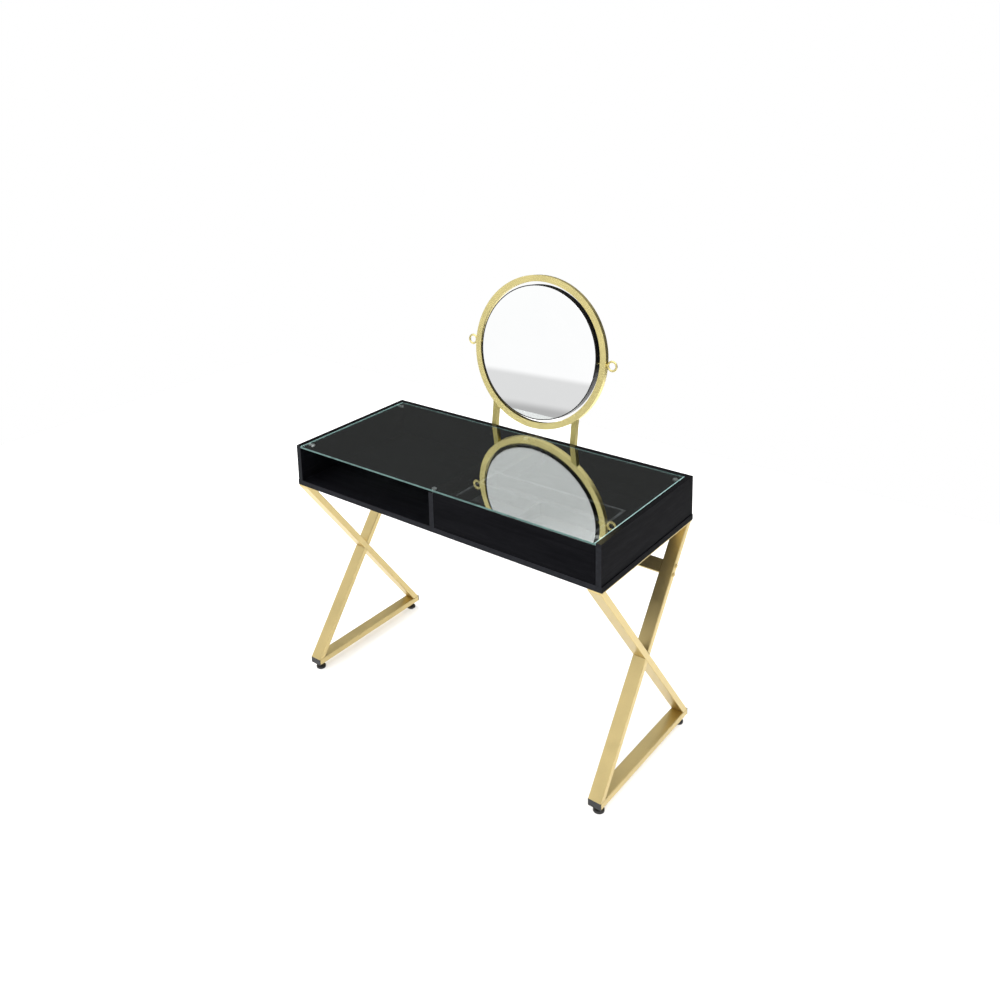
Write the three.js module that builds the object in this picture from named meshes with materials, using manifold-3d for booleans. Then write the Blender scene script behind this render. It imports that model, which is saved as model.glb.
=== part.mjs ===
// Vanity table with a swivelling round mirror.
// Millimetres. +Z is up, +X is to the right of someone who sits at the open front, which faces -Y.
// The origin is on the floor, in the middle of the whole object's footprint.
import * as THREE from 'three';
import Module from 'manifold-3d';
import { mergeVertices } from 'three/addons/utils/BufferGeometryUtils.js';

const wasm = await Module();
wasm.setup();

// ---- driving dimensions: the whole object ------------------------------------------
const TABLE_WIDTH = 1066.8;
const TOTAL_HEIGHT = 1244.6;
const DESK_HEIGHT = 762;          // floor to the top edge of the case
const SEAM = 0.3;                 // clearance between two pieces that touch

// The case and its glass top
const CASE_DEPTH = 482.6;
const CASE_HEIGHT = 128;
const BOARD = 16;                 // thickness of every board
const LEDGE = 2;                  // the bottom panel stands out past the panels on it
const GLASS_THICKNESS = 5;
const GLASS_INSET = 1;            // top face of the glass below the case's top edge
const SUPPORT_RADIUS = 7;
const SUPPORT_THICKNESS = 4;
const SUPPORT_TONGUE = 8;         // width of the tongue that joins a support to its wall
const SUPPORT_FROM_SIDE = 17;
const SUPPORT_FROM_FRONT = 37;
const SUPPORT_FROM_BACK = 24;
const MIDDLE_SUPPORT_FROM_END = 16;

// The mirror and the posts that carry it
const MIRROR_LEAN = THREE.MathUtils.degToRad(8.5);     // the ring's top lies farther back
const MIRROR_FRAME_DEPTH = 15.3;
const RING_RADIUS = 235;
const RING_BAND = 19.5;           // radial width of the ring
const DISC_RADIUS = 206;
const DISC_DEPTH = 26;
const DISC_RIM = 2;               // black rim around the silvered glass
const MIRROR_GLASS_THICKNESS = 3;
const POST_WIDTH = 17;
const POST_SPACING = 288;
const POST_FOOT = 650;            // height of the posts' lower ends
const POST_BEND = 758;            // above this height the posts lean back with the ring
const POST_INTO_RING = 60;        // how far a post is drawn past the ring's edge before it is scribed
const POST_SCREW_LEVELS = [672, 734];
const POST_SCREW_RADIUS = 3;
const POST_SCREW_HEAD_RADIUS = 6;
const POST_SCREW_HEAD = 3.2;
const POST_SCREW_BITE = 11;       // how far the screws reach into the posts
const PIVOT_RADIUS = 3;
const PIVOT_IN_DISC = 12;         // depth of each pivot's socket in the mirror's edge
const EYE_RADIUS = 13.6;          // to the middle of the eye's wire
const EYE_WIRE_RADIUS = 3.2;
const EYE_NECK = 4;               // from the ring to the eye

// The leg frames
const TUBE_WIDTH = 38.1;          // across, along X
const TUBE_DEPTH = 19.05;         // in the plane of the frame
const TUBE_WALL = 1.5;
const TUBE_CORNER = 2.2;
const FRAME_INSET = 2.6;          // outer face of a leg frame from the case's end
const TOP_RAIL = 5;
const FOOT_HEIGHT = 22;
const FOOT_PAD = 8;
const FOOT_PAD_RADIUS = 15;
const FOOT_STEM_RADIUS = 5;
const FOOT_FROM_END = 22;
const CAP = 3;
const CAP_PLUG = 14;
const BOLT_HEAD_RADIUS = 6;
const BOLT_HEAD = 2.3;
const BOLT_RADIUS = 3;
const BOLT_LENGTH = 54;
const CROSSBAR_END = 4;           // thickness of the crossbar's closed ends
const BOLT_SPACING = 25;
const CROSSBAR_LEVEL = 522;       // height of the middle of the crossbar
const RAIL_SCREW_FROM_MIDDLE = 150;
const SOCKET_SHARE = 0.55;         // a head's socket, as a share of the head's radius and height
const SCREW_HEAD_RADIUS = 5;
const SCREW_HEAD = 2.6;
const SCREW_RADIUS = 2;
const SCREW_LENGTH = 17;
const SCREW_PILOT = 4.5;          // the pilot hole ends this far above the board's middle

// The drawer with its jewellery tray
const REVEAL = 1.6;               // gap around the drawer's front
const DRAWER_WIDTH = 416;         // outside of its walls
const DRAWER_WALL = 8;
const DRAWER_LENGTH = 212;        // behind the drawer's front
const DRAWER_TOP_BELOW_DESK = 22;
const TRAY_DEPTH = 35;
const TRAY_FLOOR = 6;
const TRAY_DIVIDER = 6;
const TRAY_CROSS_FROM_BACK = 76;
const RUNNER_PLAY = 0.8;
const RUNNER_LEDGE = 8;
const RUNNER_LEDGE_THICKNESS = 10;

// ---- levels and planes that follow from them ------------------------------------------
const end = TABLE_WIDTH / 2;
const leanSine = Math.sin(MIRROR_LEAN);
const leanCosine = Math.cos(MIRROR_LEAN);
const halfFrame = MIRROR_FRAME_DEPTH / 2;
const ringLevel = TOTAL_HEIGHT - RING_RADIUS * leanCosine - halfFrame * leanSine;
const bendToRing = (ringLevel - POST_BEND + halfFrame * leanSine) / leanCosine;
const ringBehindCase = SEAM + bendToRing * leanSine + halfFrame * leanCosine;
const totalDepth = CASE_DEPTH + ringBehindCase + RING_RADIUS * leanSine + halfFrame * leanCosine;
const front = -totalDepth / 2;
const caseBack = front + CASE_DEPTH;
const mirrorMiddle = caseBack + ringBehindCase;
const postFront = caseBack + SEAM;
const caseUnder = DESK_HEIGHT - CASE_HEIGHT;
const wallOuter = end - LEDGE;
const wallInner = wallOuter - BOARD;
const wallFoot = caseUnder + BOARD + SEAM;
const panelFront = caseBack - BOARD;
const glassTop = DESK_HEIGHT - GLASS_INSET;
const glassUnder = glassTop - GLASS_THICKNESS;
const supportTop = glassUnder - SEAM;
const dividerTop = supportTop - SUPPORT_THICKNESS - SEAM;
const railScrews = [['front', -1], ['rear', 1]].flatMap(([row, side]) => [-1, 1].map((hand) => ({
    row,
    x: hand * (end - FRAME_INSET - TUBE_WIDTH / 2),
    y: (front + caseBack) / 2 + side * RAIL_SCREW_FROM_MIDDLE,
})));
const ringInner = RING_RADIUS - RING_BAND;

// ---- materials ---------------------------------------------------------------------------
const look = (color, roughness, metalness) =>
    () => new THREE.MeshStandardMaterial({ color, roughness, metalness });
const blackBoard = look(0x1b1c20, 0.45, 0);
const gold = look(0xc9ad68, 0.35, 1);
const blackPlastic = look(0x121212, 0.6, 0);
const clearGlass = look(0x9cc8c0, 0.05, 0);
const silvered = look(0xe6eaec, 0.03, 1);
const blackLacquer = look(0x0c0c0c, 0.35, 0);
const steel = look(0xb4b6b8, 0.3, 1);
const felt = look(0x202026, 0.95, 0);

// ---- helpers ---------------------------------------------------------------------------------
const model = new THREE.Group();

function add(name, geometry, paint, x = 0, y = 0, z = 0) {
    const mesh = new THREE.Mesh(geometry, paint());
    mesh.name = name;
    mesh.position.set(x, y, z);
    model.add(mesh);
    return mesh;
}

// A square-edged board or bar, given by its limits.
function board(name, paint, [x0, x1], [y0, y1], [z0, z1]) {
    const geometry = new THREE.BoxGeometry(x1 - x0, y1 - y0, z1 - z0);
    return add(name, geometry, paint, (x0 + x1) / 2, (y0 + y1) / 2, (z0 + z1) / 2);
}

// A flat plate seen from the front: an outline in X and Z, `depth` thick towards +Y from y = 0.
function frontPlate(shape, depth, curveSegments = 12) {
    const geometry = new THREE.ExtrudeGeometry(shape, { depth, curveSegments, bevelEnabled: false });
    return geometry.rotateX(Math.PI / 2).translate(0, depth, 0);
}

// Lays a piece that was made along Y along the axis 'x', 'y' or 'z' instead.
function laidAlong(geometry, axis) {
    if (axis === 'x') geometry.rotateZ(-Math.PI / 2);
    if (axis === 'z') geometry.rotateX(Math.PI / 2);
    return geometry;
}

// A turned piece: (radius, height) pairs, spun about the axis.
function turned(profile, axis, segments = 32) {
    const points = profile.map(([r, h]) => new THREE.Vector2(r, h));
    return laidAlong(new THREE.LatheGeometry(points, segments), axis);
}

function solid(geometry) {
    const bare = geometry.clone();
    bare.deleteAttribute('normal');
    bare.deleteAttribute('uv');
    const merged = mergeVertices(bare, 1e-4);
    return new wasm.Manifold(new wasm.Mesh({
        numProp: 3,
        vertProperties: new Float32Array(merged.attributes.position.array),
        triVerts: new Uint32Array(merged.index.array),
    }));
}

function geometryOf(manifold) {
    const { vertProperties, triVerts } = manifold.getMesh();
    const geometry = new THREE.BufferGeometry();
    geometry.setAttribute('position', new THREE.BufferAttribute(vertProperties, 3));
    geometry.setIndex(new THREE.BufferAttribute(triVerts, 1));
    const facets = geometry.toNonIndexed();
    facets.computeVertexNormals();
    return facets;
}

// A round hole for drilled(): it starts at `from` and runs along +axis.
function bore(radius, length, axis, from) {
    const cutter = turned([[0, 0], [radius + SEAM, 0], [radius + SEAM, length], [0, length]], axis, 16);
    return solid(cutter.translate(...from));
}

const drilled = (geometry, bores) =>
    geometryOf(bores.reduce((body, hole) => body.subtract(hole), solid(geometry)));

// A screw or bolt with a hexagonal socket, pointing along +axis, its head's inner face at 0.
function socketScrew(headRadius, head, shankRadius, shank, axis) {
    const plain = turned([
        [0, -head], [headRadius * 0.8, -head], [headRadius, -head * 0.6], [headRadius, 0],
        [shankRadius, 0], [shankRadius, shank], [0, shank],
    ], 'y', 24);
    const socket = new THREE.CylinderGeometry(
        headRadius * SOCKET_SHARE, headRadius * SOCKET_SHARE, head * 2 * SOCKET_SHARE, 6);
    return laidAlong(drilled(plain, [solid(socket.translate(0, -head, 0))]), axis);
}

// ---- the case ----------------------------------------------------------------------------------
function addCase() {
    const bottom = new THREE.BoxGeometry(TABLE_WIDTH, caseBack - front, BOARD);
    const bottomMiddle = [0, (front + caseBack) / 2, caseUnder + BOARD / 2];
    const pilots = railScrews.map(({ x, y }) =>
        bore(SCREW_RADIUS, SCREW_LENGTH, 'z', [x, y - bottomMiddle[1], SCREW_PILOT - SCREW_LENGTH]));
    add('bottom_panel', drilled(bottom, pilots), blackBoard, ...bottomMiddle);
    const walls = [wallFoot, DESK_HEIGHT];
    board('left_side_panel', blackBoard, [-wallOuter, -wallInner], [front, caseBack], walls);
    board('right_side_panel', blackBoard, [wallInner, wallOuter], [front, caseBack], walls);
    board('centre_divider', blackBoard, [-BOARD / 2, BOARD / 2], [front, panelFront - SEAM],
        [wallFoot, dividerTop]);
    addBackPanel();
    board('glass_top', clearGlass, [SEAM - wallInner, wallInner - SEAM], [front, panelFront - SEAM],
        [glassUnder, glassTop]);
}

// The back panel is drilled for the screws that hold the mirror's posts.
function addBackPanel() {
    const middle = [0, caseBack - BOARD / 2, (wallFoot + DESK_HEIGHT) / 2];
    const plain = new THREE.BoxGeometry(2 * (wallInner - SEAM), BOARD, DESK_HEIGHT - wallFoot);
    const holes = [-POST_SPACING / 2, POST_SPACING / 2].flatMap((x) =>
        POST_SCREW_LEVELS.map((z) => bore(POST_SCREW_RADIUS, 2 * BOARD, 'y', [x, -BOARD, z - middle[2]])));
    add('back_panel', drilled(plain, holes), blackBoard, ...middle);
}

// Small discs under the glass: four reach out from the side panels, two stand on the divider.
function addGlassSupports() {
    const rows = [
        ['front', front + SUPPORT_FROM_FRONT, front + MIDDLE_SUPPORT_FROM_END],
        ['rear', panelFront - SUPPORT_FROM_BACK, panelFront - MIDDLE_SUPPORT_FROM_END],
    ];
    const z = supportTop - SUPPORT_THICKNESS;
    const thickness = { depth: SUPPORT_THICKNESS, curveSegments: 24, bevelEnabled: false };
    for (const [row, y, middleY] of rows) {
        for (const [name, sign] of [['left', -1], ['right', 1]]) {
            const support = new THREE.ExtrudeGeometry(supportOutline(), thickness);
            if (sign < 0) support.rotateZ(Math.PI);
            add(`${name}_${row}_glass_support`, support, steel,
                sign * (wallInner - SUPPORT_FROM_SIDE), y, z);
        }
        const disc = new THREE.Shape().absarc(0, 0, SUPPORT_RADIUS, 0, 2 * Math.PI);
        add(`middle_${row}_glass_support`, new THREE.ExtrudeGeometry(disc, thickness), steel,
            0, middleY, z);
    }
}

// A disc with a tongue towards +X, as long as the wall is away.
function supportOutline() {
    const halfTongue = SUPPORT_TONGUE / 2;
    const angle = Math.asin(halfTongue / SUPPORT_RADIUS);
    const shape = new THREE.Shape();
    shape.absarc(0, 0, SUPPORT_RADIUS, angle, 2 * Math.PI - angle);
    shape.lineTo(SUPPORT_FROM_SIDE - SEAM, -halfTongue);
    shape.lineTo(SUPPORT_FROM_SIDE - SEAM, halfTongue);
    shape.closePath();
    return shape;
}

// ---- the leg frames --------------------------------------------------------------------------------
const frameOuter = end - FRAME_INSET;
const frameMiddle = frameOuter - TUBE_WIDTH / 2;
const railTop = FOOT_HEIGHT + TUBE_DEPTH;
const plateTop = caseUnder - SEAM;
const diagonalTop = plateTop - TOP_RAIL - SEAM;
const diagonalFoot = railTop + SEAM;
const railFront = front + CAP;
const railRear = caseBack - CAP;

// Both diagonals lean by this angle from the floor, and are sawn level at both ends.
function diagonalAngle() {
    const rise = diagonalTop - diagonalFoot;
    let angle = Math.PI / 4;
    for (let pass = 0; pass < 30; pass += 1) {
        angle = Math.atan2(rise, railRear - front - TUBE_DEPTH / Math.sin(angle));
    }
    return angle;
}

const lean = diagonalAngle();
const crossing = { y: (front + railRear) / 2, z: (diagonalTop + diagonalFoot) / 2 };

// The crossbar and its bolts sit on the axis of the upper braces.
const crossbar = {
    y: crossing.y + (CROSSBAR_LEVEL - crossing.z) / Math.tan(lean),
    z: CROSSBAR_LEVEL,
};
const boltPlaces = [['upper', 1], ['lower', -1]].map(([row, side]) => ({
    row,
    y: crossbar.y + side * Math.cos(lean) * BOLT_SPACING / 2,
    z: crossbar.z + side * Math.sin(lean) * BOLT_SPACING / 2,
}));

// A length of rectangular tube, open at both ends. Its axis passes through `at` (Y and Z) with
// the direction `along`; `saws` are the lines, {point, normal} in Y and Z, where it is cut off.
function sawnTube(at, along, saws) {
    const section = roundedSection(TUBE_WIDTH, TUBE_DEPTH, TUBE_CORNER);
    section.holes.push(roundedSection(TUBE_WIDTH - 2 * TUBE_WALL, TUBE_DEPTH - 2 * TUBE_WALL, 0.8));
    const options = { depth: 1, curveSegments: 3, bevelEnabled: false };
    const geometry = new THREE.ExtrudeGeometry(section, options);
    const position = geometry.attributes.position;
    for (let i = 0; i < position.count; i += 1) {
        const across = position.getX(i);
        const side = position.getY(i);
        const saw = saws[Math.round(position.getZ(i))];
        const y = at.y + side * along.z;
        const z = at.z - side * along.y;
        const gap = (saw.point.y - y) * saw.normal.y + (saw.point.z - z) * saw.normal.z;
        const reach = gap / (along.y * saw.normal.y + along.z * saw.normal.z);
        position.setXYZ(i, across, y + reach * along.y, z + reach * along.z);
    }
    geometry.computeVertexNormals();
    return geometry;
}

function roundedSection(width, depth, radius) {
    const x = width / 2;
    const y = depth / 2;
    const shape = new THREE.Shape();
    shape.moveTo(-x + radius, -y);
    shape.lineTo(x - radius, -y);
    shape.absarc(x - radius, -y + radius, radius, -Math.PI / 2, 0);
    shape.absarc(x - radius, y - radius, radius, 0, Math.PI / 2);
    shape.absarc(-x + radius, y - radius, radius, Math.PI / 2, Math.PI);
    shape.absarc(-x + radius, -y + radius, radius, Math.PI, 1.5 * Math.PI);
    return shape;
}

// Saw cuts: level ones at the rails, and slanted ones on the faces of the long diagonal.
const level = (z) => ({ point: { y: 0, z }, normal: { y: 0, z: 1 } });
const longWay = { y: Math.cos(lean), z: -Math.sin(lean) };
const braceWay = { y: -Math.cos(lean), z: -Math.sin(lean) };
function faceOfLongDiagonal(side) {
    const normal = { y: -longWay.z * side, z: longWay.y * side };
    const off = TUBE_DEPTH / 2 + SEAM;
    return { point: { y: crossing.y + normal.y * off, z: crossing.z + normal.z * off }, normal };
}

function addLegFrame(name, sign) {
    const x = sign * frameMiddle;
    const ends = [level(diagonalTop), level(diagonalFoot)];
    const plate = new THREE.BoxGeometry(TUBE_WIDTH, caseBack - front, TOP_RAIL);
    const plateY = (front + caseBack) / 2;
    const plateZ = plateTop - TOP_RAIL / 2;
    const screws = railScrews.filter((screw) => Math.sign(screw.x) === sign);
    const screwHoles = screws.map(({ y }) =>
        bore(SCREW_RADIUS, 2 * TOP_RAIL, 'z', [0, y - plateY, -TOP_RAIL]));
    add(`${name}_leg_top_rail`, drilled(plate, screwHoles), gold, x, plateY, plateZ);
    add(`${name}_leg_long_diagonal`, sawnTube(crossing, longWay, ends), gold, x);
    const upper = sawnTube(crossing, braceWay, [ends[0], faceOfLongDiagonal(1)]);
    const boltHoles = boltPlaces.map(({ y, z }) => bore(BOLT_RADIUS, TUBE_WIDTH * 2, 'x', [-TUBE_WIDTH, y, z]));
    add(`${name}_leg_upper_brace`, drilled(upper, boltHoles), gold, x);
    add(`${name}_leg_lower_brace`,
        sawnTube(crossing, braceWay, [faceOfLongDiagonal(-1), ends[1]]), gold, x);
    addBottomRail(name, x);
    for (const screw of screws) {
        add(`${name}_${screw.row}_rail_screw`,
            socketScrew(SCREW_HEAD_RADIUS, SCREW_HEAD, SCREW_RADIUS, SCREW_LENGTH, 'z'),
            gold, x, screw.y, plateTop - TOP_RAIL - SEAM);
    }
}

function addBottomRail(name, x) {
    const along = { y: 1, z: 0 };
    const cutAt = (y) => ({ point: { y, z: 0 }, normal: { y: 1, z: 0 } });
    const axis = { y: 0, z: FOOT_HEIGHT + TUBE_DEPTH / 2 };
    add(`${name}_leg_bottom_rail`, sawnTube(axis, along, [cutAt(railFront), cutAt(railRear)]), gold, x);
    for (const [row, y, inward] of [['front', front, 1], ['rear', caseBack, -1]]) {
        add(`${name}_${row}_end_cap`, endCap(inward), blackPlastic, x, y, axis.z);
        add(`${name}_${row}_levelling_foot`, turned(footProfile(), 'z'), blackPlastic, x,
            y + inward * FOOT_FROM_END, 0);
    }
}

// A plug with a flat head that covers the open end of the bottom rail.
function endCap(inward) {
    const hollow = TUBE_WALL + SEAM;
    const head = solid(new THREE.BoxGeometry(TUBE_WIDTH, CAP - SEAM, TUBE_DEPTH)
        .translate(0, inward * (CAP - SEAM) / 2, 0));
    const plug = solid(new THREE.BoxGeometry(TUBE_WIDTH - 2 * hollow, CAP_PLUG, TUBE_DEPTH - 2 * hollow)
        .translate(0, inward * CAP_PLUG / 2, 0));
    return geometryOf(head.add(plug));
}

const footProfile = () => [
    [0, 0], [FOOT_PAD_RADIUS - 1, 0], [FOOT_PAD_RADIUS, 1], [FOOT_PAD_RADIUS, FOOT_PAD - 2],
    [FOOT_PAD_RADIUS - 2, FOOT_PAD], [FOOT_STEM_RADIUS, FOOT_PAD],
    [FOOT_STEM_RADIUS, FOOT_HEIGHT - SEAM], [0, FOOT_HEIGHT - SEAM],
];

// The crossbar lies between the two upper braces, in their plane. It is a tube with closed ends,
// and the bolts go through the braces into those ends.
function addCrossbar() {
    const inner = frameOuter - TUBE_WIDTH - SEAM;
    const outside = roundedSection(TUBE_WIDTH, TUBE_DEPTH, TUBE_CORNER);
    const options = { depth: 2 * inner, curveSegments: 3, bevelEnabled: false };
    const bar = new THREE.ExtrudeGeometry(outside, options).translate(0, 0, -inner);
    const hollow = new THREE.BoxGeometry(
        TUBE_WIDTH - 2 * TUBE_WALL, TUBE_DEPTH - 2 * TUBE_WALL, 2 * (inner - CROSSBAR_END));
    const holes = [-1, 1].map((side) =>
        bore(BOLT_RADIUS, 4 * inner, 'z', [side * BOLT_SPACING / 2, 0, -2 * inner]));
    const body = drilled(bar, [solid(hollow), ...holes]);
    // Its width, along local X, is turned to lie along the braces, and its length along X.
    body.rotateY(Math.PI / 2).rotateX(lean).rotateX(Math.PI / 2);
    add('rear_crossbar', body, gold, 0, crossbar.y, crossbar.z);
    for (const [name, sign] of [['left', -1], ['right', 1]]) {
        for (const { row, y, z } of boltPlaces) {
            const bolt = socketScrew(BOLT_HEAD_RADIUS, BOLT_HEAD, BOLT_RADIUS, BOLT_LENGTH, 'x');
            if (sign > 0) bolt.rotateZ(Math.PI);
            add(`${name}_${row}_crossbar_bolt`, bolt, gold, sign * (frameOuter + SEAM), y, z);
        }
    }
}

// ---- the mirror ----------------------------------------------------------------------------------------
// Ring, mirror and eye screws are made upright about the ring's middle, then leaned and put in place.
const addLeaned = (name, geometry, paint) =>
    add(name, geometry.rotateX(-MIRROR_LEAN), paint, 0, mirrorMiddle, ringLevel);

function addMirror() {
    const circle = (radius) => new THREE.Shape().absarc(0, 0, radius, 0, 2 * Math.PI);
    const ring = circle(RING_RADIUS);
    ring.holes.push(circle(ringInner));
    let body = solid(frontPlate(ring, MIRROR_FRAME_DEPTH, 96).translate(0, -halfFrame, 0));
    body = body.subtract(bore(PIVOT_RADIUS, 2 * end, 'x', [-end, 0, 0]));
    addLeaned('mirror_ring', geometryOf(body), gold);

    // The backing is a dish; the silvered glass lies in it.
    const seat = DISC_RADIUS - DISC_RIM;
    const depth = DISC_DEPTH / 2;
    const dish = turned([
        [0, -depth], [DISC_RADIUS - 1.5, -depth], [DISC_RADIUS, 1.5 - depth], [DISC_RADIUS, depth],
        [seat, depth], [seat, depth - MIRROR_GLASS_THICKNESS - SEAM],
        [0, depth - MIRROR_GLASS_THICKNESS - SEAM],
    ], 'y', 96).rotateX(Math.PI);
    body = solid(dish);
    for (const from of [-DISC_RADIUS - PIVOT_IN_DISC, DISC_RADIUS - PIVOT_IN_DISC]) {
        body = body.subtract(bore(PIVOT_RADIUS, 2 * PIVOT_IN_DISC, 'x', [from, 0, 0]));
    }
    addLeaned('mirror_backing', geometryOf(body), blackLacquer);
    const glassRadius = seat - SEAM;
    const glass = turned([
        [0, -MIRROR_GLASS_THICKNESS], [glassRadius, -MIRROR_GLASS_THICKNESS],
        [glassRadius, -0.8], [glassRadius - 0.8, 0], [0, 0],
    ], 'y', 96).rotateX(Math.PI);
    addLeaned('mirror_glass', glass.translate(0, -depth, 0), silvered);

    for (const [name, sign] of [['left', -1], ['right', 1]]) {
        add(`${name}_mirror_post`, postGeometry(sign), gold, sign * POST_SPACING / 2, postFront, 0);
        addLeaned(`${name}_eye_screw`, eyeScrew(sign), gold);
        for (const [row, height] of [['lower', POST_SCREW_LEVELS[0]], ['upper', POST_SCREW_LEVELS[1]]]) {
            const shank = BOARD + 2 * SEAM + POST_SCREW_BITE;
            const screw = socketScrew(POST_SCREW_HEAD_RADIUS, POST_SCREW_HEAD - SEAM,
                POST_SCREW_RADIUS, shank, 'y');
            add(`${name}_${row}_post_screw`, screw, blackLacquer, sign * POST_SPACING / 2,
                panelFront - SEAM, height);
        }
    }
}

// A post stands upright behind the back panel, bends back at the case's top edge, and is scribed
// to the ring's underside. It is drawn from the side, with its front face at y = 0.
function postGeometry(sign) {
    const length = bendToRing - RING_RADIUS + POST_INTO_RING;
    const rearBend = POST_BEND - MIRROR_FRAME_DEPTH * Math.tan(MIRROR_LEAN / 2);
    const top = { y: length * leanSine, z: POST_BEND + length * leanCosine };
    const side = new THREE.Shape();
    side.moveTo(0, POST_FOOT);
    side.lineTo(MIRROR_FRAME_DEPTH, POST_FOOT);
    side.lineTo(MIRROR_FRAME_DEPTH, rearBend);
    side.lineTo(top.y + MIRROR_FRAME_DEPTH * leanCosine, top.z - MIRROR_FRAME_DEPTH * leanSine);
    side.lineTo(top.y, top.z);
    side.lineTo(0, POST_BEND);
    side.closePath();
    const bar = new THREE.ExtrudeGeometry(side, { depth: POST_WIDTH, bevelEnabled: false });
    // The outline's X becomes Y and its Y becomes Z.
    bar.rotateX(Math.PI / 2).rotateZ(Math.PI / 2).translate(-POST_WIDTH / 2, 0, 0);
    const reach = 4 * MIRROR_FRAME_DEPTH;
    const ringSpace = solid(new THREE.CylinderGeometry(RING_RADIUS + SEAM, RING_RADIUS + SEAM, reach, 192)
        .rotateX(-MIRROR_LEAN).translate(-sign * POST_SPACING / 2, mirrorMiddle - postFront, ringLevel));
    const holes = POST_SCREW_LEVELS.map((z) =>
        bore(POST_SCREW_RADIUS, 2 * POST_SCREW_BITE, 'y', [0, -POST_SCREW_BITE + SEAM, z]));
    return drilled(bar, [ringSpace, ...holes]);
}

// A thumb screw: the pivot goes through the ring into the mirror's edge, and the eye stays outside.
function eyeScrew(sign) {
    const tip = DISC_RADIUS - PIVOT_IN_DISC + SEAM;
    const eyeAt = RING_RADIUS + EYE_NECK + EYE_RADIUS;
    const pin = turned([
        [0, tip], [PIVOT_RADIUS, tip], [PIVOT_RADIUS, RING_RADIUS + SEAM],
        [PIVOT_RADIUS + 1.6, RING_RADIUS + SEAM], [PIVOT_RADIUS + 1.6, RING_RADIUS + EYE_NECK - 1],
        [PIVOT_RADIUS - 0.6, RING_RADIUS + EYE_NECK + 0.4], [0, RING_RADIUS + EYE_NECK + 0.4],
    ], 'x', 24);
    const eye = new THREE.TorusGeometry(EYE_RADIUS, EYE_WIRE_RADIUS, 12, 36);
    eye.rotateX(Math.PI / 2).translate(eyeAt, 0, 0);
    const screw = geometryOf(solid(pin).add(solid(eye)));
    return sign < 0 ? screw.rotateZ(Math.PI) : screw;
}

// ---- the drawer --------------------------------------------------------------------------------------------
function addDrawer() {
    const bay = [BOARD / 2, wallInner];
    const middle = (bay[0] + bay[1]) / 2;
    const frontRear = front + BOARD;
    const top = DESK_HEIGHT - DRAWER_TOP_BELOW_DESK;
    const floorTop = top - TRAY_DEPTH;
    const floorUnder = floorTop - TRAY_FLOOR;
    const [x0, x1] = [middle - DRAWER_WIDTH / 2, middle + DRAWER_WIDTH / 2];
    const back = frontRear + DRAWER_LENGTH;
    const behindFront = frontRear + SEAM;
    board('drawer_front', blackBoard, [bay[0] + REVEAL, bay[1] - REVEAL], [front, frontRear],
        [wallFoot - SEAM + REVEAL, glassUnder - REVEAL]);
    board('drawer_left_wall', blackBoard, [x0, x0 + DRAWER_WALL], [behindFront, back], [floorUnder, top]);
    board('drawer_right_wall', blackBoard, [x1 - DRAWER_WALL, x1], [behindFront, back], [floorUnder, top]);
    const inside = [x0 + DRAWER_WALL + SEAM, x1 - DRAWER_WALL - SEAM];
    const backFront = back - DRAWER_WALL;
    board('drawer_back_wall', blackBoard, inside, [backFront, back], [floorUnder, top]);
    board('tray_floor', felt, inside, [behindFront, backFront - SEAM], [floorUnder, floorTop]);
    const dividerLevels = [floorTop + SEAM, top];
    const crossY = backFront - TRAY_CROSS_FROM_BACK;
    board('tray_cross_divider', blackBoard, inside, [crossY - TRAY_DIVIDER, crossY], dividerLevels);
    board('tray_long_divider', blackBoard, [middle - TRAY_DIVIDER / 2, middle + TRAY_DIVIDER / 2],
        [behindFront, crossY - TRAY_DIVIDER - SEAM], dividerLevels);
    for (const [name, wall, box, sign] of [['left', bay[0], x0, 1], ['right', bay[1], x1, -1]]) {
        const section = runnerSection(Math.abs(box - wall) - SEAM - RUNNER_PLAY);
        const length = panelFront - frontRear - 2 * RUNNER_PLAY;
        const runner = new THREE.ExtrudeGeometry(section, { depth: length, bevelEnabled: false });
        runner.rotateX(Math.PI / 2).translate(0, length, 0);
        if (sign < 0) runner.rotateZ(Math.PI).translate(0, length, 0);
        add(`${name}_drawer_runner`, runner, blackBoard, wall + sign * SEAM,
            frontRear + RUNNER_PLAY, floorUnder - RUNNER_PLAY);
    }
}

// An L: a block against the bay's wall, with a ledge that the drawer's floor slides on.
function runnerSection(width) {
    const shape = new THREE.Shape();
    shape.moveTo(0, -RUNNER_LEDGE_THICKNESS);
    shape.lineTo(width + RUNNER_LEDGE, -RUNNER_LEDGE_THICKNESS);
    shape.lineTo(width + RUNNER_LEDGE, 0);
    shape.lineTo(width, 0);
    shape.lineTo(width, TRAY_DEPTH - 5);
    shape.lineTo(0, TRAY_DEPTH - 5);
    shape.closePath();
    return shape;
}

addCase();
addGlassSupports();
addLegFrame('left', -1);
addLegFrame('right', 1);
addCrossbar();
addMirror();
addDrawer();

export default model;
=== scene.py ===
"""Looks of the vanity table with mirror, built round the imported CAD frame."""
import math

import bpy
from mathutils import Matrix, Vector

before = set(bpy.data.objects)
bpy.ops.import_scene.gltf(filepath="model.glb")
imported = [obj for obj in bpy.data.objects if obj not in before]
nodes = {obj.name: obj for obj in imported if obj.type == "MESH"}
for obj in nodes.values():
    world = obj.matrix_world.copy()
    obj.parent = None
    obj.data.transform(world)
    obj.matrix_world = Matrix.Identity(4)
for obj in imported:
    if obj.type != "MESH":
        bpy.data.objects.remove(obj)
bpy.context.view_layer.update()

WHITE = (1, 1, 1)
SQUARE_ON = 0.85            # how squarely a board's face must point along an axis to count


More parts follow.
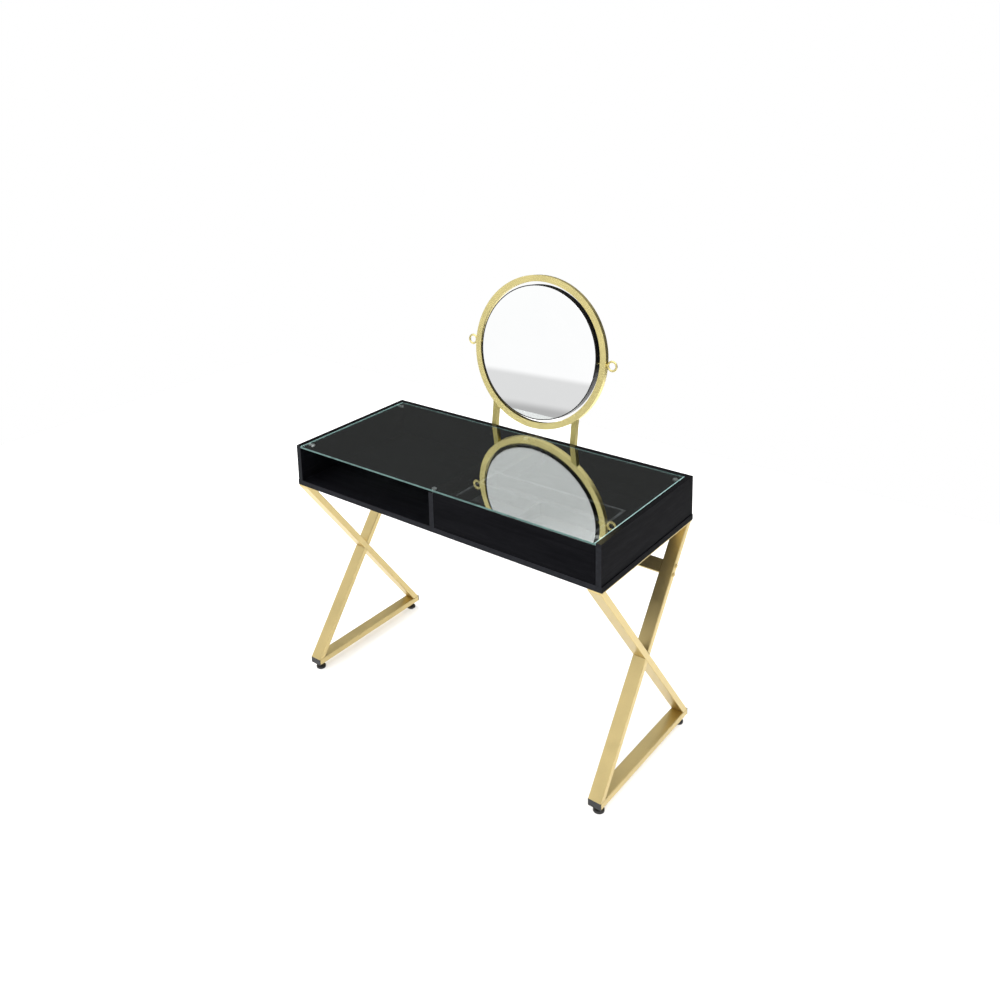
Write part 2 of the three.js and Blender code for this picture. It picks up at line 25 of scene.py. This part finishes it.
# ---- node helpers -------------------------------------------------------------------
class Graph:
    """The node tree of a new material or world, written as short calls. A value in a call is a
    number, an (r, g, b) colour, a vector, or another node's output."""

    def __init__(self, owner):
        owner.use_nodes = True
        self.owner = owner
        self.tree = owner.node_tree
        self.tree.nodes.clear()

    def node(self, kind, values=None, **settings):
        made = self.tree.nodes.new(kind)
        for key, value in settings.items():
            setattr(made, key, value)
        for key, value in (values or {}).items():
            socket = made.inputs[key]
            if isinstance(value, bpy.types.NodeSocket):
                self.tree.links.new(value, socket)
            elif socket.type == "RGBA":
                socket.default_value = (*value, 1)
            else:
                socket.default_value = value
        return made

    def math(self, operation, a, b=0.0):
        return self.node("ShaderNodeMath", {0: a, 1: b}, operation=operation).outputs[0]

    def sum(self, a, share_of_a, b, share_of_b):
        """Two values added in the given shares."""
        first, second = self.math("MULTIPLY", a, share_of_a), self.math("MULTIPLY", b, share_of_b)
        return self.math("ADD", first, second)

    def choose(self, mask, plain, chosen):
        """`plain` where the mask is 0, and `chosen` where it is 1."""
        return self.sum(self.math("SUBTRACT", 1.0, mask), plain, mask, chosen)

    def mix(self, share, a, b):
        """Colour a, with a share of colour b over it."""
        return self.node("ShaderNodeMix", {0: share, 6: a, 7: b}, data_type="RGBA").outputs[2]

    def ramp(self, value, *stops):
        """The colour for a value, from stops given as (value, colour)."""
        made = self.node("ShaderNodeValToRGB", {0: value})
        elements = made.color_ramp.elements
        while len(elements) < len(stops):
            elements.new(0.5)
        for element, (place, colour) in zip(elements, stops):
            element.position = place
            element.color = (*colour, 1)
        return made.outputs[0]

    def remap(self, value, source, target, interpolation="LINEAR"):
        """The value moved from the source range to the target range."""
        made = self.node("ShaderNodeMapRange", {
            "Value": value, "From Min": source[0], "From Max": source[1],
            "To Min": target[0], "To Max": target[1]}, interpolation_type=interpolation)
        return made.outputs[0]

    def place(self, scale=(1, 1, 1)):
        """A place on the object, in metres times the scale."""
        coordinates = self.node("ShaderNodeTexCoord").outputs["Object"]
        return self.node("ShaderNodeMapping", {"Vector": coordinates, "Scale": scale}).outputs[0]

    def noise(self, vector, scale, detail, roughness, distortion=0.0):
        made = self.node("ShaderNodeTexNoise", {
            "Vector": vector, "Scale": scale, "Detail": detail,
            "Roughness": roughness, "Distortion": distortion})
        return made.outputs[0]

    def facing(self):
        """How squarely the surface faces along each axis, from 0 to 1, in the object's frame."""
        normal = self.node("ShaderNodeTexCoord").outputs["Normal"]
        parts = self.node("ShaderNodeSeparateXYZ", {0: normal}).outputs
        return {axis: self.math("ABSOLUTE", part) for axis, part in zip("xyz", parts)}

    def bump(self, height, distance, strength):
        values = {"Height": height, "Distance": distance, "Strength": strength}
        return self.node("ShaderNodeBump", values).outputs[0]

    def surface(self, values):
        shader = self.node("ShaderNodeBsdfPrincipled", values)
        self.node("ShaderNodeOutputMaterial", {"Surface": shader.outputs[0]})
        return self.owner


def new_material(name):
    return Graph(bpy.data.materials.new(name))


def squeezed(along, times):
    """The scale of a pattern drawn out along one axis, or along none where that is "round"."""
    return [1 if along in (axis, "round") else times for axis in "xyz"]


# ---- materials ----------------------------------------------------------------------
BOARD_TONES = (
    (0.30, (0.0016, 0.0016, 0.0024)), (0.47, (0.0030, 0.0031, 0.0042)),
    (0.56, (0.0046, 0.0047, 0.0060)), (0.72, (0.0085, 0.0085, 0.0100)))
OPEN_PORE = (0.001, 0.001, 0.0014)
BAND_TONES = ((0.3, (0.014, 0.0145, 0.017)), (0.7, (0.020, 0.021, 0.0245)))
TOP_TONES = ((0.3, (0.0022, 0.0022, 0.0028)), (0.7, (0.0042, 0.0042, 0.0050)))
# Painted highlight: the tray walls' tops are painted pale where light falls on them.
PAINTED_TOP_HIGHLIGHT_TONES = ((0.3, (0.110, 0.112, 0.118)), (0.7, (0.180, 0.184, 0.192)))
BOARD_SPECULAR, TOP_SPECULAR = 0.02, 0.52
TOP_ROUGHNESS = 0.17
GRAIN_SQUEEZE = 14          # how many times finer the grain is across than along
PORE_SQUEEZE = 2.2          # how much finer again the pores are
PORE_DARKNESS = 0.6


def black_board(name, grain_along, edges, lightness_with_painted_light):
    """Black wood-grain laminate, with the grain along one axis. `edges` names the directions of its
    narrow edges: those that face along "y" carry a paler band, those that face along "z" have
    a soft gloss, and "t" stands for a tray wall's top, painted pale as a painted highlight."""
    g = new_material(name)
    stretch = squeezed(grain_along, GRAIN_SQUEEZE)
    wide = g.noise(g.place(stretch), scale=5.5, detail=6, roughness=0.62, distortion=0.9)
    fine = g.noise(g.place(stretch), scale=38, detail=8, roughness=0.7, distortion=0.3)
    finer = [PORE_SQUEEZE * part for part in stretch]
    pores = g.noise(g.place(finer), scale=60, detail=3, roughness=0.6)
    dust = g.noise(g.place(), scale=90, detail=4, roughness=0.6)
    grain = g.sum(wide, 0.55, fine, 0.45)
    solid = g.ramp(pores, (0.30, (0, 0, 0)), (0.40, WHITE))
    open_pore = g.math("MULTIPLY", g.math("SUBTRACT", 1.0, solid), PORE_DARKNESS)
    # Above 1, the lightness is painted light on the inner boards.
    tones = [(at, [lightness_with_painted_light * part for part in tone]) for at, tone in BOARD_TONES]
    colour = g.mix(open_pore, g.ramp(grain, *tones), OPEN_PORE)
    rough = g.remap(grain, (0.3, 0.72), (0.56, 0.44))
    relief = g.sum(grain, 0.7, solid, 0.3)
    specular = BOARD_SPECULAR
    facing = g.facing()
    if "y" in edges:
        band = g.math("GREATER_THAN", facing["y"], SQUARE_ON)
        colour = g.mix(band, colour, g.ramp(dust, *BAND_TONES))
        relief = g.choose(band, relief, 0.0)
    if "z" in edges:
        top = g.math("GREATER_THAN", facing["z"], SQUARE_ON)
        colour = g.mix(top, colour, g.ramp(dust, *TOP_TONES))
        rough = g.choose(top, rough, TOP_ROUGHNESS)
        relief = g.choose(top, relief, 0.0)
        specular = g.choose(top, BOARD_SPECULAR, TOP_SPECULAR)
    # Painted highlight on the tray walls' tops.
    if "t" in edges:
        painted_lit_top = g.math("GREATER_THAN", facing["z"], SQUARE_ON)
        colour = g.mix(painted_lit_top, colour, g.ramp(dust, *PAINTED_TOP_HIGHLIGHT_TONES))
    return g.surface({
        "Base Color": colour, "Roughness": rough, "Specular IOR Level": specular,
        "Normal": g.bump(relief, distance=0.00022, strength=0.5)})


GOLD_SHADES = ((0.32, 0.90), (0.50, 1.0), (0.68, 1.07))
LEG_GOLD = (0.590, 0.470, 0.220)
# One gold finish: the ring's copy is painted lighter, a painted light, and the posts' copy darker, a
# painted shade.
RING_GOLD_PAINTED_LIGHT = (0.78, 0.675, 0.300)
POST_GOLD_PAINTED_SHADE = (0.47, 0.405, 0.155)
RELIEF, RING_RELIEF = 0.2, 0.03
STREAK_SQUEEZE = 26
STREAK_ROUGHNESS = 0.12     # how far the streaks change the roughness


def gold(name, along, tint, relief=RELIEF):
    """Satin gold finish on steel, with a fine grain along one axis, or none where it is "round"."""
    g = new_material(name)
    streaks = g.noise(g.place(squeezed(along, STREAK_SQUEEZE)), scale=34, detail=6, roughness=0.65)
    mottle = g.noise(g.place(), scale=14, detail=4, roughness=0.6)
    speck = g.noise(g.place(), scale=900, detail=2, roughness=0.5)
    tone = g.sum(streaks, 0.35, mottle, 0.65)
    uneven = g.math("MULTIPLY", g.math("SUBTRACT", streaks, 0.5), STREAK_ROUGHNESS)
    shades = [(at, [share * part for part in tint]) for at, share in GOLD_SHADES]
    return g.surface({
        "Base Color": g.ramp(tone, *shades),
        "Metallic": 1.0,
        "Roughness": g.math("ADD", g.remap(mottle, (0.3, 0.7), (0.34, 0.43)), uneven),
        "Normal": g.bump(g.sum(streaks, 0.6, speck, 0.4), distance=0.00005, strength=relief)})


GLASS_TINT, COAT_TINT = (0.93, 0.975, 0.96), (0.96, 1.0, 0.98)
GLASS_COAT = 0.22
# Painted glow: the glass edges emit light, though glass is no lamp. The side edges' tones are painted
# paler than the front edges' own green, a painted light.
PAINTED_EDGE_GLOW = 0.3
FRONT_EDGE_TONES = ((0.3, (0.035, 0.085, 0.078)), (0.7, (0.085, 0.175, 0.160)))
SIDE_EDGE_PAINTED_LIGHT_TONES = ((0.3, (0.340, 0.600, 0.570)), (0.7, (0.560, 0.820, 0.790)))
# The painted glow border on the top face: its width, and its strength at each side.
BORDER_ACROSS, BORDER_DEEP = 0.0036, 0.008      # shares of the sheet's width and depth
BORDER_RIGHT, BORDER_LEFT, BORDER_REAR = 0.42, 0.09, 0.07
LEVEL, SIDEWAYS = 0.9, 0.3                      # how squarely a face of the sheet points


def painted_glow_border(g):
    """A narrow painted border on the sheet's face, a painted glow for the lit edge seen through the
    glass: strong on the right, faint at the left and rear.
    """
    whole = g.node("ShaderNodeTexCoord").outputs["Generated"]
    across, deep, _ = g.node("ShaderNodeSeparateXYZ", {0: whole}).outputs
    right = g.math("MULTIPLY", g.math("GREATER_THAN", across, 1 - BORDER_ACROSS), BORDER_RIGHT)
    left = g.math("MULTIPLY", g.math("LESS_THAN", across, BORDER_ACROSS), BORDER_LEFT)
    rear = g.math("MULTIPLY", g.math("GREATER_THAN", deep, 1 - BORDER_DEEP), BORDER_REAR)
    return g.math("MAXIMUM", right, g.math("MAXIMUM", left, rear))


def clear_glass():
    """Clear glass with a polished, coated face that reflects strongly, and pale green edges with a
    painted glow:
    they emit light, standing in for light the sheet leads to them, and the side edges are painted
    paler, a painted light."""
    g = new_material("clear_glass")
    facing = g.facing()
    level = g.math("GREATER_THAN", facing["z"], LEVEL)
    smear = g.noise(g.place(), scale=9, detail=5, roughness=0.7)
    rough = g.remap(smear, (0.35, 0.7), (0.0, 0.018))
    sheet = g.node("ShaderNodeBsdfPrincipled", {
        "Base Color": GLASS_TINT, "Roughness": rough, "IOR": 1.52,
        "Transmission Weight": 1.0, "Specular IOR Level": 0.9})
    coat = g.node("ShaderNodeBsdfGlossy", {"Color": COAT_TINT, "Roughness": rough})
    coated = g.node("ShaderNodeMixShader", {
        0: g.math("MULTIPLY", level, GLASS_COAT), 1: sheet.outputs[0], 2: coat.outputs[0]})
    # Painted glow and painted light: the edges emit, and the side edges and the border are painted
    # paler and glow more than the front edges.
    glow = g.noise(g.place(), scale=40, detail=3, roughness=0.6)
    bright = g.math("MAXIMUM", g.math("GREATER_THAN", facing["x"], SIDEWAYS), level)
    tint = g.mix(bright, g.ramp(glow, *FRONT_EDGE_TONES), g.ramp(glow, *SIDE_EDGE_PAINTED_LIGHT_TONES))
    edge = g.node("ShaderNodeBsdfPrincipled", {
        "Base Color": tint, "Roughness": 0.2, "Specular IOR Level": 0.4,
        "Emission Color": tint,
        "Emission Strength": g.choose(bright, PAINTED_EDGE_GLOW / 2, PAINTED_EDGE_GLOW * 3 / 2)})
    # The edge look, with its painted glow, goes on the upright faces and on the painted border.
    upright = g.math("LESS_THAN", facing["z"], LEVEL)
    mixed = g.node("ShaderNodeMixShader", {
        0: g.math("MAXIMUM", upright, painted_glow_border(g)), 1: coated.outputs[0], 2: edge.outputs[0]})
    g.node("ShaderNodeOutputMaterial", {"Surface": mixed.outputs[0]})
    return g.owner


def silvered_glass():
    """The mirror: bright silver behind glass, with faint smears."""
    g = new_material("silvered_glass")
    smear = g.noise(g.place(), scale=7, detail=5, roughness=0.7)
    return g.surface({
        "Base Color": g.ramp(smear, (0.3, (0.965, 0.975, 0.978)), (0.7, (0.985, 0.99, 0.992))),
        "Metallic": 1.0, "Roughness": g.remap(smear, (0.35, 0.75), (0.0, 0.018))})


def moulded_plastic():
    """Matt black plastic with a fine moulded texture and scuffs."""
    g = new_material("black_plastic")
    fine = g.noise(g.place(), scale=1400, detail=3, roughness=0.6)
    scuff = g.noise(g.place(), scale=60, detail=5, roughness=0.7)
    return g.surface({
        "Base Color": g.ramp(scuff, (0.35, (0.0055, 0.0055, 0.006)), (0.75, (0.02, 0.02, 0.021))),
        "Roughness": g.remap(scuff, (0.3, 0.7), (0.42, 0.6)),
        "Normal": g.bump(fine, distance=0.00008, strength=0.4)})


def lacquer():
    """Smooth black lacquer with a slight flow in its surface."""
    g = new_material("black_lacquer")
    flow = g.noise(g.place(), scale=60, detail=3, roughness=0.5)
    return g.surface({
        "Base Color": g.ramp(flow, (0.3, (0.0040, 0.0040, 0.0045)), (0.7, (0.0065, 0.0065, 0.0072))),
        "Roughness": g.remap(flow, (0.3, 0.7), (0.29, 0.33)), "Specular IOR Level": 0.3,
        "Normal": g.bump(flow, distance=0.0001, strength=0.06)})


def steel():
    """Bright steel with turning lines."""
    g = new_material("bright_steel")
    lines = g.noise(g.place((1, 30, 1)), scale=300, detail=3, roughness=0.6)
    return g.surface({
        "Base Color": g.ramp(lines, (0.3, (0.76, 0.77, 0.78)), (0.7, (0.93, 0.94, 0.95))),
        "Metallic": 0.5, "Roughness": g.remap(lines, (0.3, 0.7), (0.14, 0.26)),
        "Normal": g.bump(lines, distance=0.00004, strength=0.4)})


def felt():
    """Black felt with a clumped, fibrous nap."""
    g = new_material("tray_felt")
    fibre = g.noise(g.place(), scale=1600, detail=4, roughness=0.8)
    clump = g.noise(g.place(), scale=120, detail=4, roughness=0.6)
    return g.surface({
        "Base Color": g.ramp(clump, (0.3, (0.006, 0.006, 0.008)), (0.7, (0.017, 0.017, 0.021))),
        "Roughness": 0.95, "Sheen Weight": 0.5, "Sheen Roughness": 0.5,
        "Normal": g.bump(fibre, distance=0.0006, strength=0.6)})


# ---- which piece has which look -----------------------------------------------------
# Each board's grain axis, its edge faces, and how light its laminate is drawn: the outer boards keep
# the laminate's own tone at 1, and the inner boards seen through the glass are painted lighter, a
# painted light.
board_looks = {
    "bottom_panel": ("x", "y", 1.0),
    "left_side_panel": ("y", "yz", 1.0), "right_side_panel": ("y", "yz", 1.0),
    "centre_divider": ("y", "yz", 1.6), "back_panel": ("x", "z", 1.6), "drawer_front": ("x", "z", 1.0),
    "drawer_left_wall": ("y", "t", 2.4), "drawer_right_wall": ("y", "t", 2.4),
    "drawer_back_wall": ("x", "t", 2.4), "tray_cross_divider": ("x", "t", 2.4),
    "tray_long_divider": ("y", "t", 2.4),
    "left_drawer_runner": ("y", "z", 1.6), "right_drawer_runner": ("y", "z", 1.6),
}
paints = {}
for number, look in enumerate(sorted(set(board_looks.values()))):
    paints[look] = black_board(f"black_board_{number}", *look)
golds = {along: gold(f"gold_{along}", along, LEG_GOLD) for along in ("x", "y", "z", "round")}
# Lit and shaded copies of the legs' gold: painted light on the ring, painted shade on the posts.
shaded_post_gold = gold("gold_post_painted_shade", "z", POST_GOLD_PAINTED_SHADE)
lit_ring_gold = gold("gold_ring", "round", RING_GOLD_PAINTED_LIGHT, RING_RELIEF)

# The look of every other piece, by the end of its name. A later row is used only where no earlier
# one fits, and the last fits all that are left: the gold screws and bolts.
other_looks = (
    ("glass_top", clear_glass()),
    ("mirror_glass", silvered_glass()),
    (("mirror_backing", "post_screw"), lacquer()),
    ("glass_support", steel()),
    (("end_cap", "levelling_foot"), moulded_plastic()),
    ("tray_floor", felt()),
    ("rear_crossbar", golds["x"]),
    (("top_rail", "bottom_rail"), golds["y"]),
    (("diagonal", "brace"), golds["z"]),
    ("mirror_post", shaded_post_gold),
    (("mirror_ring", "eye_screw"), lit_ring_gold),
    ("", golds["round"]),
)


def look_of(name):
    if name in board_looks:
        return paints[board_looks[name]]
    return next(look for ending, look in other_looks if name.endswith(ending))


BOARD_BEVEL, GLASS_BEVEL, METAL_BEVEL = 0.0009, 0.0022, 0.0006
BEVEL_SEGMENTS = 3
BEVEL_ANGLE = math.radians(40)      # an edge that turns more than this is bevelled


def bevel_of(name):
    """How wide the bevel on a piece's edges is, or 0 where they stay sharp."""
    if name in board_looks:
        return BOARD_BEVEL
    if name == "glass_top":
        return GLASS_BEVEL
    if name.endswith(("top_rail", "post", "ring", "support", "backing", "cap", "bar")):
        return METAL_BEVEL
    return 0


for name, node in nodes.items():
    node.data.materials.clear()
    node.data.materials.append(look_of(name))
    if bevel_of(name):
        bevel = node.modifiers.new("arris", "BEVEL")
        bevel.width = bevel_of(name)
        bevel.segments = BEVEL_SEGMENTS
        bevel.limit_method = "ANGLE"
        bevel.angle_limit = BEVEL_ANGLE


# ---- the stage, the lights and the camera -------------------------------------------
FLOOR_X, FLOOR_Y = (-3.2, 2.4), (-2.6, 2.0)
FLOOR_TONES = ((0.3, (0.86, 0.86, 0.86)), (0.7, (0.89, 0.89, 0.89)))
FLOOR_LIGHT = 1.2
# Each soft light's place, the point that it faces, its width and height, and its power.
SOFT_LIGHTS = {
    "front_left": ((-2.2, -2.9, 2.6), (0, 0, 0.6), (2.4, 2.4), 35),
    "overhead": ((0.2, -0.4, 3.6), (0, 0, 0), (3.0, 3.0), 12),
    "front_right": ((2.8, -1.6, 1.8), (0.3, 0, 0.5), (1.6, 2.0), 10),
}
# The world's strengths, with 1 for the white in front, and where along Y or Z it changes.
WORLD_BEHIND, WORLD_ZENITH, WORLD_BAND, WORLD_GROUND = 0.055, 2.2, 0.74, 0.46
FRONT_TO_BACK = (-0.15, 0.35)
ZENITH_RISE = (0.5, 0.8)
BAND_TOP = (-0.083, -0.076)
GROUND_TOP = (-0.113, -0.104)
CAMERA_PLACE = (1.6799, -2.2179, 1.9486)
CAMERA_AZIMUTH, CAMERA_ELEVATION, CAMERA_ROLL = 40.61, 12.93, -2.15
CAMERA_SENSOR, CAMERA_LENS = 36, 36.70
CAMERA_SHIFT = (0.0713, -0.2266)
CAMERA_REACH = 100


def into_scene(name, data):
    made = bpy.data.objects.new(name, data)
    bpy.context.scene.collection.objects.link(made)
    return made


def stage_floor():
    """A plain pale floor."""
    mesh = bpy.data.meshes.new("floor")
    mesh.from_pydata([(x, y, 0) for y in FLOOR_Y for x in FLOOR_X], [], [(0, 1, 3, 2)])
    g = new_material("floor")
    cloud = g.noise(g.place(), scale=1.2, detail=3, roughness=0.5)
    mesh.materials.append(g.surface({
        "Base Color": g.ramp(cloud, *FLOOR_TONES), "Roughness": 0.9, "Specular IOR Level": 0.1}))
    floor = into_scene("floor", mesh)
    return floor


def soft_light(name, place, target, size, power):
    """A rectangular light that glossy surfaces don't mirror."""
    data = bpy.data.lights.new(name, "AREA")
    data.shape = "RECTANGLE"
    data.size, data.size_y = size
    data.energy = power
    lamp = into_scene(name, data)
    lamp.location = place
    lamp.rotation_euler = (Vector(target) - Vector(place)).to_track_quat("-Z", "Y").to_euler()
    lamp.visible_glossy = False


def floor_light(floor):
    """Evens out the floor to the white of the backdrop. It lights the floor only."""
    data = bpy.data.lights.new("floor_light", "SUN")
    data.energy = FLOOR_LIGHT
    lamp = into_scene("floor_light", data)
    floor_only = bpy.data.collections.new("floor_only")
    floor_only.objects.link(floor)
    lamp.light_linking.receiver_collection = floor_only
    lamp.light_linking.blocker_collection = floor_only


def studio_world():
    """White where the camera sees it. For reflections and soft light it is white in front, dim
    behind, bright overhead, and grey below the horizon."""
    world = bpy.data.worlds.new("studio")
    bpy.context.scene.world = world
    g = Graph(world)
    direction = g.node("ShaderNodeTexCoord").outputs["Generated"]
    _, along_y, along_z = g.node("ShaderNodeSeparateXYZ", {0: direction}).outputs
    smooth = "SMOOTHSTEP"
    level = g.remap(along_y, FRONT_TO_BACK, (1.0, WORLD_BEHIND), smooth)
    zenith = g.remap(along_z, ZENITH_RISE, (0.0, WORLD_ZENITH), smooth)
    ground = g.remap(along_z, GROUND_TOP, (WORLD_GROUND / WORLD_BAND, 1.0), smooth)
    band = g.remap(along_z, BAND_TOP, (WORLD_BAND, 1.0), smooth)
    strength = g.math("MULTIPLY", g.math("MAXIMUM", level, zenith), g.math("MULTIPLY", ground, band))
    lit = g.node("ShaderNodeBackground", {"Color": WHITE, "Strength": strength})
    seen = g.node("ShaderNodeBackground", {"Color": WHITE})
    to_camera = g.node("ShaderNodeLightPath").outputs["Is Camera Ray"]
    either = g.node("ShaderNodeMixShader", {0: to_camera, 1: lit.outputs[0], 2: seen.outputs[0]})
    g.node("ShaderNodeOutputWorld", {"Surface": either.outputs[0]})


def make_camera():
    """Azimuth turns the view to the left of +Y and elevation turns it down. Roll comes last."""
    data = bpy.data.cameras.new("camera")
    data.sensor_width = CAMERA_SENSOR
    data.lens = CAMERA_LENS
    data.shift_x, data.shift_y = CAMERA_SHIFT
    data.clip_end = CAMERA_REACH
    camera = into_scene("camera", data)
    azimuth, elevation = math.radians(CAMERA_AZIMUTH), math.radians(CAMERA_ELEVATION)
    level = math.cos(elevation)
    forwards = Vector((-math.sin(azimuth) * level, math.cos(azimuth) * level, -math.sin(elevation)))
    roll = Matrix.Rotation(math.radians(CAMERA_ROLL), 4, "Z")
    turn = forwards.to_track_quat("-Z", "Y").to_matrix().to_4x4() @ roll
    camera.matrix_world = Matrix.Translation(CAMERA_PLACE) @ turn
    bpy.context.scene.camera = camera


floor_light(stage_floor())
for name, settings in SOFT_LIGHTS.items():
    soft_light(name, *settings)
studio_world()
make_camera()
bpy.context.scene.view_settings.view_transform = "Standard"
